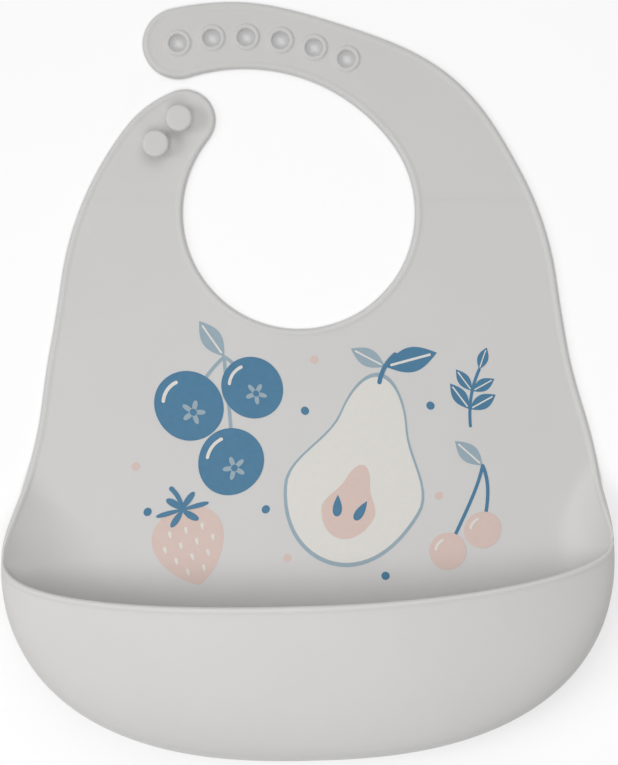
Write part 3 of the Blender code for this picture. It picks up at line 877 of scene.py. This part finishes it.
def stroke(start, bend_point, stop, width):
    """A line of ink along a curve, with its ends rounded."""
    steps = [i / STROKE_STEPS for i in range(STROKE_STEPS + 1)]
    middle = [start * (1 - s) ** 2 + bend_point * 2 * s * (1 - s) + stop * s**2 for s in steps]
    first = angle_of(middle[1] - middle[0])
    last = angle_of(middle[-1] - middle[-2])
    sides = []
    for i, point in enumerate(middle):
        along = (middle[min(i + 1, STROKE_STEPS)] - middle[max(i - 1, 0)]).normalized()
        sides.append((point, Vector((-along.y, along.x)) * width / 2))
    right = [point - side for point, side in sides]
    left = [point + side for point, side in sides]
    caps = [math.pi * i / CAP_STEPS for i in range(1, CAP_STEPS)]
    end = [stop + width / 2 * direction(last - math.pi / 2 + turn) for turn in caps]
    foot = [start + width / 2 * direction(first + math.pi / 2 + turn) for turn in caps]
    return right + end + left[::-1] + foot


def pear():
    def edge(t):
        up = (1.0 - math.cos(t)) / 2
        neck = 1.0 - PEAR_NECK * smooth((up - PEAR_WAIST_LOW) / PEAR_WAIST_SPAN)
        return Vector((PEAR_WIDTH / 2 * math.sin(t) * neck, PEAR_HEIGHT * (up - 0.5)))

    return looped(edge)


def draw_pear(ink):
    at = {"place": PEAR_PLACE, "turn": PEAR_TURN}
    top = Vector((0.0, PEAR_HEIGHT / 2))
    ink("leaf", 1, placed(pear(), size=PEAR_SKIN, **at))
    ink("cream", 2, placed(pear(), **at))
    core = [point * PEAR_CORE + Vector((0.0, PEAR_CORE_DROP)) for point in pear()]
    ink("pink", 3, placed(core, **at))
    for side in (-1, 1):
        spot = Vector((side * PEAR_SEED_APART, PEAR_SEED_DROP))
        seed = drop(PEAR_SEED * SEED_SLIMNESS, PEAR_SEED)
        ink("blue", 4, placed(placed(seed, spot, math.pi - side * PEAR_SEED_TURN), **at))
    stem = stroke(*[top + point for point in PEAR_STEM], STEM_WIDTH)
    ink("blue", 3, placed(stem, **at))
    foot = placed([top + PEAR_LEAF_FOOT], **at)[0]
    for colour, turn, length in PEAR_LEAVES:
        draw_leaf(ink, colour, foot, turn, length)


def draw_leaf(ink, colour, foot, turn, length):
    ink(colour, 1, placed(leaf(length, length * LEAF_WIDTH), foot, turn))
    spots = [Vector((0.0, length * height)) for height in (RIB_START, RIB_MIDDLE, RIB_END)]
    ink("cream", 2, placed(stroke(*spots, length * RIB_WIDTH), foot, turn))


def draw_shine(ink, place, reach, width):
    """A curved streak of light near the edge of a round fruit."""
    turns = [SHINE_START, SHINE_START + SHINE_SWEEP / 2, SHINE_START + SHINE_SWEEP]
    spots = [place + reach * direction(turn) for turn in turns]
    spots[1] += spots[1] - (spots[0] + spots[2]) / 2
    ink("cream", 3, stroke(*spots, width))


def draw_berries(ink):
    for number, (place, radius) in enumerate(BERRIES):
        ink("blue", 2, disc(place, radius))
        crown = star(radius * CROWN_SIZE, CROWN_POINTS, CROWN_DEPTH)
        spot = place + radius * CROWN_SHIFT * direction(CROWN_BEARING)
        ink("leaf", 3, placed(crown, spot, number * CROWN_TURN))
        ink("blue", 4, disc(spot, radius * CROWN_SIZE * CROWN_EYE))
        draw_shine(ink, place, radius * BERRY_SHINE_REACH, radius * BERRY_SHINE_WIDTH)
    for place, radius in BERRIES:
        swing = (place + BERRY_FORK) / 2 + BERRY_STEM_SWING
        ink("leaf", 1, stroke(place, swing, BERRY_FORK, THIN_STEM_WIDTH))
    draw_leaf(ink, "leaf", BERRY_FORK, BERRY_LEAF_TURN, BERRY_LEAF)


def draw_strawberry(ink):
    at = {"place": STRAWBERRY_PLACE, "turn": STRAWBERRY_TURN}
    fruit = drop(STRAWBERRY_WIDTH, STRAWBERRY_HEIGHT, STRAWBERRY_FULLNESS)
    ink("pink", 1, placed(fruit, **at))
    seed = drop(STRAWBERRY_SEED * SEED_SLIMNESS, STRAWBERRY_SEED)
    for row, count in enumerate(STRAWBERRY_ROWS):
        for column in range(count):
            across = (column - (count - 1) / 2) * STRAWBERRY_COLUMN_SPACING
            spot = Vector((across, STRAWBERRY_FIRST_ROW - row * STRAWBERRY_ROW_SPACING))
            ink("cream", 2, placed([point + spot for point in seed], **at))
    calyx = star(CALYX_SIZE, CALYX_POINTS, CALYX_DEPTH)
    top = Vector((0.0, STRAWBERRY_HEIGHT / 2 - CALYX_DROP))
    ink("blue", 3, placed([top + Vector((p.x, p.y * CALYX_FLAT)) for p in calyx], **at))
    stem = stroke(*[top + point for point in STRAWBERRY_STEM], STEM_WIDTH)
    ink("blue", 3, placed(stem, **at))


def draw_cherries(ink):
    for place in CHERRIES:
        swing = (place + CHERRY_STEMS_MEET) / 2 + CHERRY_STEM_SWING
        ink("blue", 1, stroke(place, swing, CHERRY_STEMS_MEET, THIN_STEM_WIDTH))
        ink("pink", 2, disc(place, CHERRY_RADIUS))
        draw_shine(ink, place, CHERRY_RADIUS * CHERRY_SHINE_REACH, CHERRY_RADIUS * CHERRY_SHINE_WIDTH)
    draw_leaf(ink, "leaf", CHERRY_STEMS_MEET, CHERRY_LEAF_TURN, CHERRY_LEAF)


def draw_sprig(ink):
    swing = (SPRIG_FOOT + SPRIG_TIP) / 2 + SPRIG_SWING
    ink("blue", 1, stroke(SPRIG_FOOT, swing, SPRIG_TIP, SPRIG_STEM_WIDTH))
    for side in (-1, 1):
        for height in SPRIG_LEAF_HEIGHTS:
            foot = SPRIG_FOOT.lerp(SPRIG_TIP, height) + SPRIG_LEAF_SHIFT
            length = SPRIG_LEAF * (SPRIG_LOW_LEAF - height * SPRIG_TAPER)
            draw_leaf(ink, "blue", foot, SPRIG_LEAF_LEAN - side * SPRIG_LEAF_SPREAD, length)
    draw_leaf(ink, "blue", SPRIG_TIP, SPRIG_TIP_LEAN, SPRIG_LEAF * SPRIG_TIP_LEAF)


def make_print():
    """The whole design, as one piece for each ink."""
    shapes = {"cream": [], "blue": [], "pink": [], "leaf": []}

    def ink(colour, layer, outline):
        shapes[colour].append((outline, layer))

    draw_pear(ink)
    draw_berries(ink)
    draw_strawberry(ink)
    draw_cherries(ink)
    draw_sprig(ink)
    for dot in PINK_DOTS:
        ink("pink", 1, disc(dot, DOT_RADIUS))
    for dot in BLUE_DOTS:
        ink("blue", 1, disc(dot, DOT_RADIUS))
    return {colour: ink_piece("print_" + colour, drawn) for colour, drawn in shapes.items()}


def ink_piece(name, drawn):
    """Thin closed films of ink on the panel, cut along the lines that the sheet bends on."""
    films = bmesh.new()
    for i, (outline, layer) in enumerate(drawn):
        outline = chain(outline)
        if (outline[0] - outline[-1]).length < SAME_POINT:
            outline.pop()
        low = [films.verts.new((*point, SHEET - INK_SUNK - INK_STEP * i)) for point in outline]
        high = [films.verts.new((*point, SHEET + INK_LIFT * layer + INK_STEP * i)) for point in outline]
        films.faces.new(low[::-1])
        films.faces.new(high)
        for j in range(len(outline)):
            films.faces.new((low[j - 1], low[j], high[j], high[j - 1]))
    bmesh.ops.recalc_face_normals(films, faces=films.faces)
    bmesh.ops.triangulate(films, faces=films.faces)
    for k in range(math.ceil(CHEST_BEND / LEVEL_SPACING_Y) + 1):
        everything = [*films.verts, *films.edges, *films.faces]
        line = Vector((0.0, FOLD_Y + k * LEVEL_SPACING_Y, 0.0))
        bmesh.ops.bisect_plane(films, geom=everything, plane_co=line, plane_no=(0.0, 1.0, 0.0))
    mesh = bpy.data.meshes.new(name)
    films.to_mesh(mesh)
    films.free()
    mesh.shade_smooth()
    mesh.set_sharp_from_angle(angle=SHARP_ANGLE)
    return add_piece(name, mesh)


# Materials: two tints, then scale and detail of the noise that mixes them and of the grain, least and
# most roughness, and strength and depth of the relief
SILICONE_TINTS = ((0.587, 0.581, 0.574, 1.0), (0.617, 0.611, 0.603, 1.0))
SILICONE_CLOUDS = (26.0, 3.0)
SILICONE_GRAIN = (1400.0, 2.0)
SILICONE_ROUGHNESS = (0.44, 0.60)
SILICONE_RELIEF = (0.12, 0.0002)
SILICONE_IOR = 1.41
SHEEN_WEIGHT = 0.12
SHEEN_ROUGHNESS = 0.5
GLOW_WEIGHT = 0.08
GLOW_RADIUS = (0.004, 0.004, 0.0036)
INKS = {
    "cream": ((0.690, 0.672, 0.636, 1.0), (0.655, 0.638, 0.604, 1.0)),
    "blue": ((0.040, 0.165, 0.285, 1.0), (0.034, 0.140, 0.245, 1.0)),
    "pink": ((0.640, 0.500, 0.450, 1.0), (0.605, 0.468, 0.420, 1.0)),
    "leaf": ((0.285, 0.375, 0.430, 1.0), (0.250, 0.335, 0.390, 1.0)),
}
INK_MOTTLE = (420.0, 4.0)
INK_ROUGHNESS = (0.48, 0.64)
INK_RELIEF = (0.10, 0.0001)


def new_material(name):
    material = bpy.data.materials.new(name)
    material.use_nodes = True
    return material, material.node_tree.nodes, material.node_tree.links


def matte(name, tints, clouds, grain, roughness, relief):
    """A material of two tints in soft clouds, with a grain in its roughness and its relief."""
    material, nodes, links = new_material(name)
    shader = nodes["Principled BSDF"]
    place = nodes.new("ShaderNodeTexCoord").outputs["Object"]

    def noise(scale, detail):
        node = nodes.new("ShaderNodeTexNoise")
        node.inputs["Scale"].default_value = scale
        node.inputs["Detail"].default_value = detail
        links.new(place, node.inputs["Vector"])
        return node.outputs["Fac"]

    tint = nodes.new("ShaderNodeMix")
    tint.data_type = "RGBA"
    tint.inputs["A"].default_value, tint.inputs["B"].default_value = tints
    links.new(noise(*clouds), tint.inputs["Factor"])
    links.new(tint.outputs["Result"], shader.inputs["Base Color"])
    fine = noise(*grain)
    rough = nodes.new("ShaderNodeMapRange")
    rough.inputs["To Min"].default_value, rough.inputs["To Max"].default_value = roughness
    links.new(fine, rough.inputs["Value"])
    links.new(rough.outputs["Result"], shader.inputs["Roughness"])
    bump = nodes.new("ShaderNodeBump")
    bump.inputs["Strength"].default_value, bump.inputs["Distance"].default_value = relief
    links.new(fine, bump.inputs["Height"])
    links.new(bump.outputs["Normal"], shader.inputs["Normal"])
    return material, shader


def silicone():
    """Matte rubber that lets a little light in."""
    look = (SILICONE_TINTS, SILICONE_CLOUDS, SILICONE_GRAIN, SILICONE_ROUGHNESS, SILICONE_RELIEF)
    material, shader = matte("matte_silicone", *look)
    shader.inputs["IOR"].default_value = SILICONE_IOR
    shader.inputs["Sheen Weight"].default_value = SHEEN_WEIGHT
    shader.inputs["Sheen Roughness"].default_value = SHEEN_ROUGHNESS
    shader.inputs["Subsurface Weight"].default_value = GLOW_WEIGHT
    shader.inputs["Subsurface Radius"].default_value = GLOW_RADIUS
    shader.inputs["Subsurface Scale"].default_value = 1.0
    return material


def printed_ink(colour):
    """Matt ink with a fine mottle where it took less well."""
    look = (INKS[colour], INK_MOTTLE, INK_MOTTLE, INK_ROUGHNESS, INK_RELIEF)
    return matte("ink_" + colour, *look)[0]


# Floor: what it throws back, and what the camera sees of it, which is white, partly lit by itself so
# that the shadow is faint, and given painted shade that darkens it in narrow places such as the holes
FLOOR_SIZE = 12.0
FLOOR_Z = -0.0002
FLOOR_WHITE = (1.0, 1.0, 1.0, 1.0)
FLOOR_BOUNCE = (0.93, 0.93, 0.93, 1.0)
SHADOW_FADE = 0.60
SHADE_REACH = 0.0060
SHADE_FULL = 0.61
SHADE_NONE = 0.70
SHADE_LEVEL = 0.53

# Light: each source's share on a level surface at the origin, and where it is
SKY_STRENGTH = 0.25
BOX_SHARE = 0.28
BOX_PLACE = Vector((-0.08, -0.12, 0.42))
BOX_SIZE = 0.25
FILL_SHARE = 0.26
FILL_ELEVATION = math.radians(55.0)
FILL_AZIMUTH = math.radians(78.0)
FILL_ANGLE = math.radians(60.0)
KEY_SHARE = 0.17
KEY_ELEVATION = math.radians(38.0)
KEY_AZIMUTH = math.radians(184.0)
KEY_ANGLE = math.radians(26.0)
LOW_SHARE = 0.03
LOW_ELEVATION = math.radians(15.0)
LOW_AZIMUTH = math.radians(286.0)
LOW_ANGLE = math.radians(20.0)

# Camera, straight above as in the photo
CAMERA_PLACE = Vector((0.0, -0.001, 0.95))
PIXEL_SIZE = 0.00039
PHOTO_HEIGHT = 765
SENSOR = 36.0


def seen_directly(nodes, links):
    """A value that is 1 for what the camera sees, straight on, in a mirror or through glass."""
    path = nodes.new("ShaderNodeLightPath")
    seen = path.outputs["Is Camera Ray"]
    for name in ("Is Glossy Ray", "Is Transmission Ray"):
        either = nodes.new("ShaderNodeMath")
        either.operation = "MAXIMUM"
        links.new(seen, either.inputs[0])
        links.new(path.outputs[name], either.inputs[1])
        seen = either.outputs[0]
    return seen


def make_floor():
    mesh = bpy.data.meshes.new("floor")
    half = FLOOR_SIZE / 2
    corners = [(-half, -half), (half, -half), (half, half), (-half, half)]
    mesh.from_pydata([(x, y, FLOOR_Z) for x, y in corners], [], [(0, 1, 2, 3)])
    floor = add_piece("floor", mesh)
    material, nodes, links = new_material("white_floor")
    nodes.remove(nodes["Principled BSDF"])
    thrown_back = nodes.new("ShaderNodeBsdfDiffuse")
    thrown_back.inputs["Color"].default_value = FLOOR_BOUNCE
    # Painted shade: the colour the camera sees is darkened where the floor is closely hemmed in
    near = nodes.new("ShaderNodeAmbientOcclusion")
    near.inputs["Distance"].default_value = SHADE_REACH
    shade = nodes.new("ShaderNodeMapRange")
    shade.inputs["From Min"].default_value = SHADE_FULL
    shade.inputs["From Max"].default_value = SHADE_NONE
    shade.inputs["To Min"].default_value = SHADE_LEVEL
    links.new(near.outputs["AO"], shade.inputs["Value"])
    pale = nodes.new("ShaderNodeMixShader")
    pale.inputs[0].default_value = SHADOW_FADE
    for i, kind in ((1, "ShaderNodeBsdfDiffuse"), (2, "ShaderNodeEmission")):
        shader = nodes.new(kind)
        links.new(shade.outputs["Result"], shader.inputs["Color"])
        links.new(shader.outputs[0], pale.inputs[i])
    choice = nodes.new("ShaderNodeMixShader")
    links.new(seen_directly(nodes, links), choice.inputs[0])
    links.new(thrown_back.outputs[0], choice.inputs[1])
    links.new(pale.outputs[0], choice.inputs[2])
    links.new(choice.outputs[0], nodes["Material Output"].inputs["Surface"])
    mesh.materials.append(material)


def make_light():
    world = bpy.data.worlds.new("studio")
    bpy.context.scene.world = world
    world.use_nodes = True
    nodes = world.node_tree.nodes
    links = world.node_tree.links
    sky = nodes["Background"]
    sky.inputs["Strength"].default_value = SKY_STRENGTH
    sky.inputs["Color"].default_value = FLOOR_WHITE
    white = nodes.new("ShaderNodeBackground")
    white.inputs["Color"].default_value = FLOOR_WHITE
    choice = nodes.new("ShaderNodeMixShader")
    links.new(seen_directly(nodes, links), choice.inputs[0])
    links.new(sky.outputs[0], choice.inputs[1])
    links.new(white.outputs[0], choice.inputs[2])
    links.new(choice.outputs[0], nodes["World Output"].inputs["Surface"])
    make_soft_box()
    make_lamp("fill", FILL_SHARE, FILL_ELEVATION, FILL_AZIMUTH, FILL_ANGLE)
    make_lamp("key", KEY_SHARE, KEY_ELEVATION, KEY_AZIMUTH, KEY_ANGLE)
    make_lamp("low", LOW_SHARE, LOW_ELEVATION, LOW_AZIMUTH, LOW_ANGLE)


def add_lamp(name, kind, energy, towards):
    lamp = bpy.data.objects.new(name, bpy.data.lights.new(name, kind))
    lamp.data.energy = energy
    lamp.rotation_mode = "QUATERNION"
    lamp.rotation_quaternion = towards.to_track_quat("Z", "Y")
    bpy.context.scene.collection.objects.link(lamp)
    return lamp


def make_soft_box():
    """A round soft box close by, so that the light falls off towards the straps as in the photo."""
    energy = math.pi**2 * BOX_SHARE * BOX_PLACE.length**3 / BOX_PLACE.z
    lamp = add_lamp("soft_box", "AREA", energy, BOX_PLACE)
    lamp.data.shape = "DISK"
    lamp.data.size = BOX_SIZE
    lamp.location = BOX_PLACE


def make_lamp(name, share, elevation, azimuth, angle):
    """A broad distant lamp that gives a level surface its share of the light."""
    level = math.cos(elevation) * direction(azimuth)
    towards = Vector((level.x, level.y, math.sin(elevation)))
    lamp = add_lamp(name, "SUN", math.pi * share / math.sin(elevation), towards)
    lamp.data.angle = angle


def make_camera():
    camera = bpy.data.objects.new("camera", bpy.data.cameras.new("camera"))
    camera.location = CAMERA_PLACE
    camera.data.sensor_fit = "AUTO"
    camera.data.sensor_width = SENSOR
    camera.data.lens = SENSOR * CAMERA_PLACE.z / (PIXEL_SIZE * PHOTO_HEIGHT)
    bpy.context.scene.collection.objects.link(camera)
    bpy.context.scene.camera = camera


def skew(piece):
    """Turns the pocket a little under the chest and sways the panel above it, as the sheet lies."""
    for vert in piece.data.vertices:
        across = direction(SKEW * smooth((FOLD_Y - vert.co.y) / (FOLD_Y - CORNER_Y)))
        down = min(max((SWAY_TOP - vert.co.y) / (SWAY_TOP - SWAY_FOOT), 0.0), 1.0)
        sway = SWAY * math.sin(math.pi * down) ** 2
        arm = vert.co.to_2d() - SKEW_CENTRE
        vert.co.x = SKEW_CENTRE.x + arm.x * across.x - arm.y * across.y + sway
        vert.co.y = SKEW_CENTRE.y + arm.x * across.y + arm.y * across.x


def bend(piece):
    """Bakes a finished sheet's placement into its mesh."""
    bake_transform(piece)


rubber = silicone()
body = make_body()
hole_strap = make_hole_strap()
peg_strap = make_peg_strap()
pegs = [make_peg("tip_peg"), make_peg("root_peg")]
for piece in (body, hole_strap, peg_strap, *pegs):
    piece.data.materials.append(rubber)
for colour, film in make_print().items():
    film.data.materials.append(printed_ink(colour))
    skew(film)
    bend(film)
skew(body)
bend(body)
bend(hole_strap)
bend(peg_strap)

make_floor()
make_light()
make_camera()
bpy.context.scene.view_settings.view_transform = "Standard"
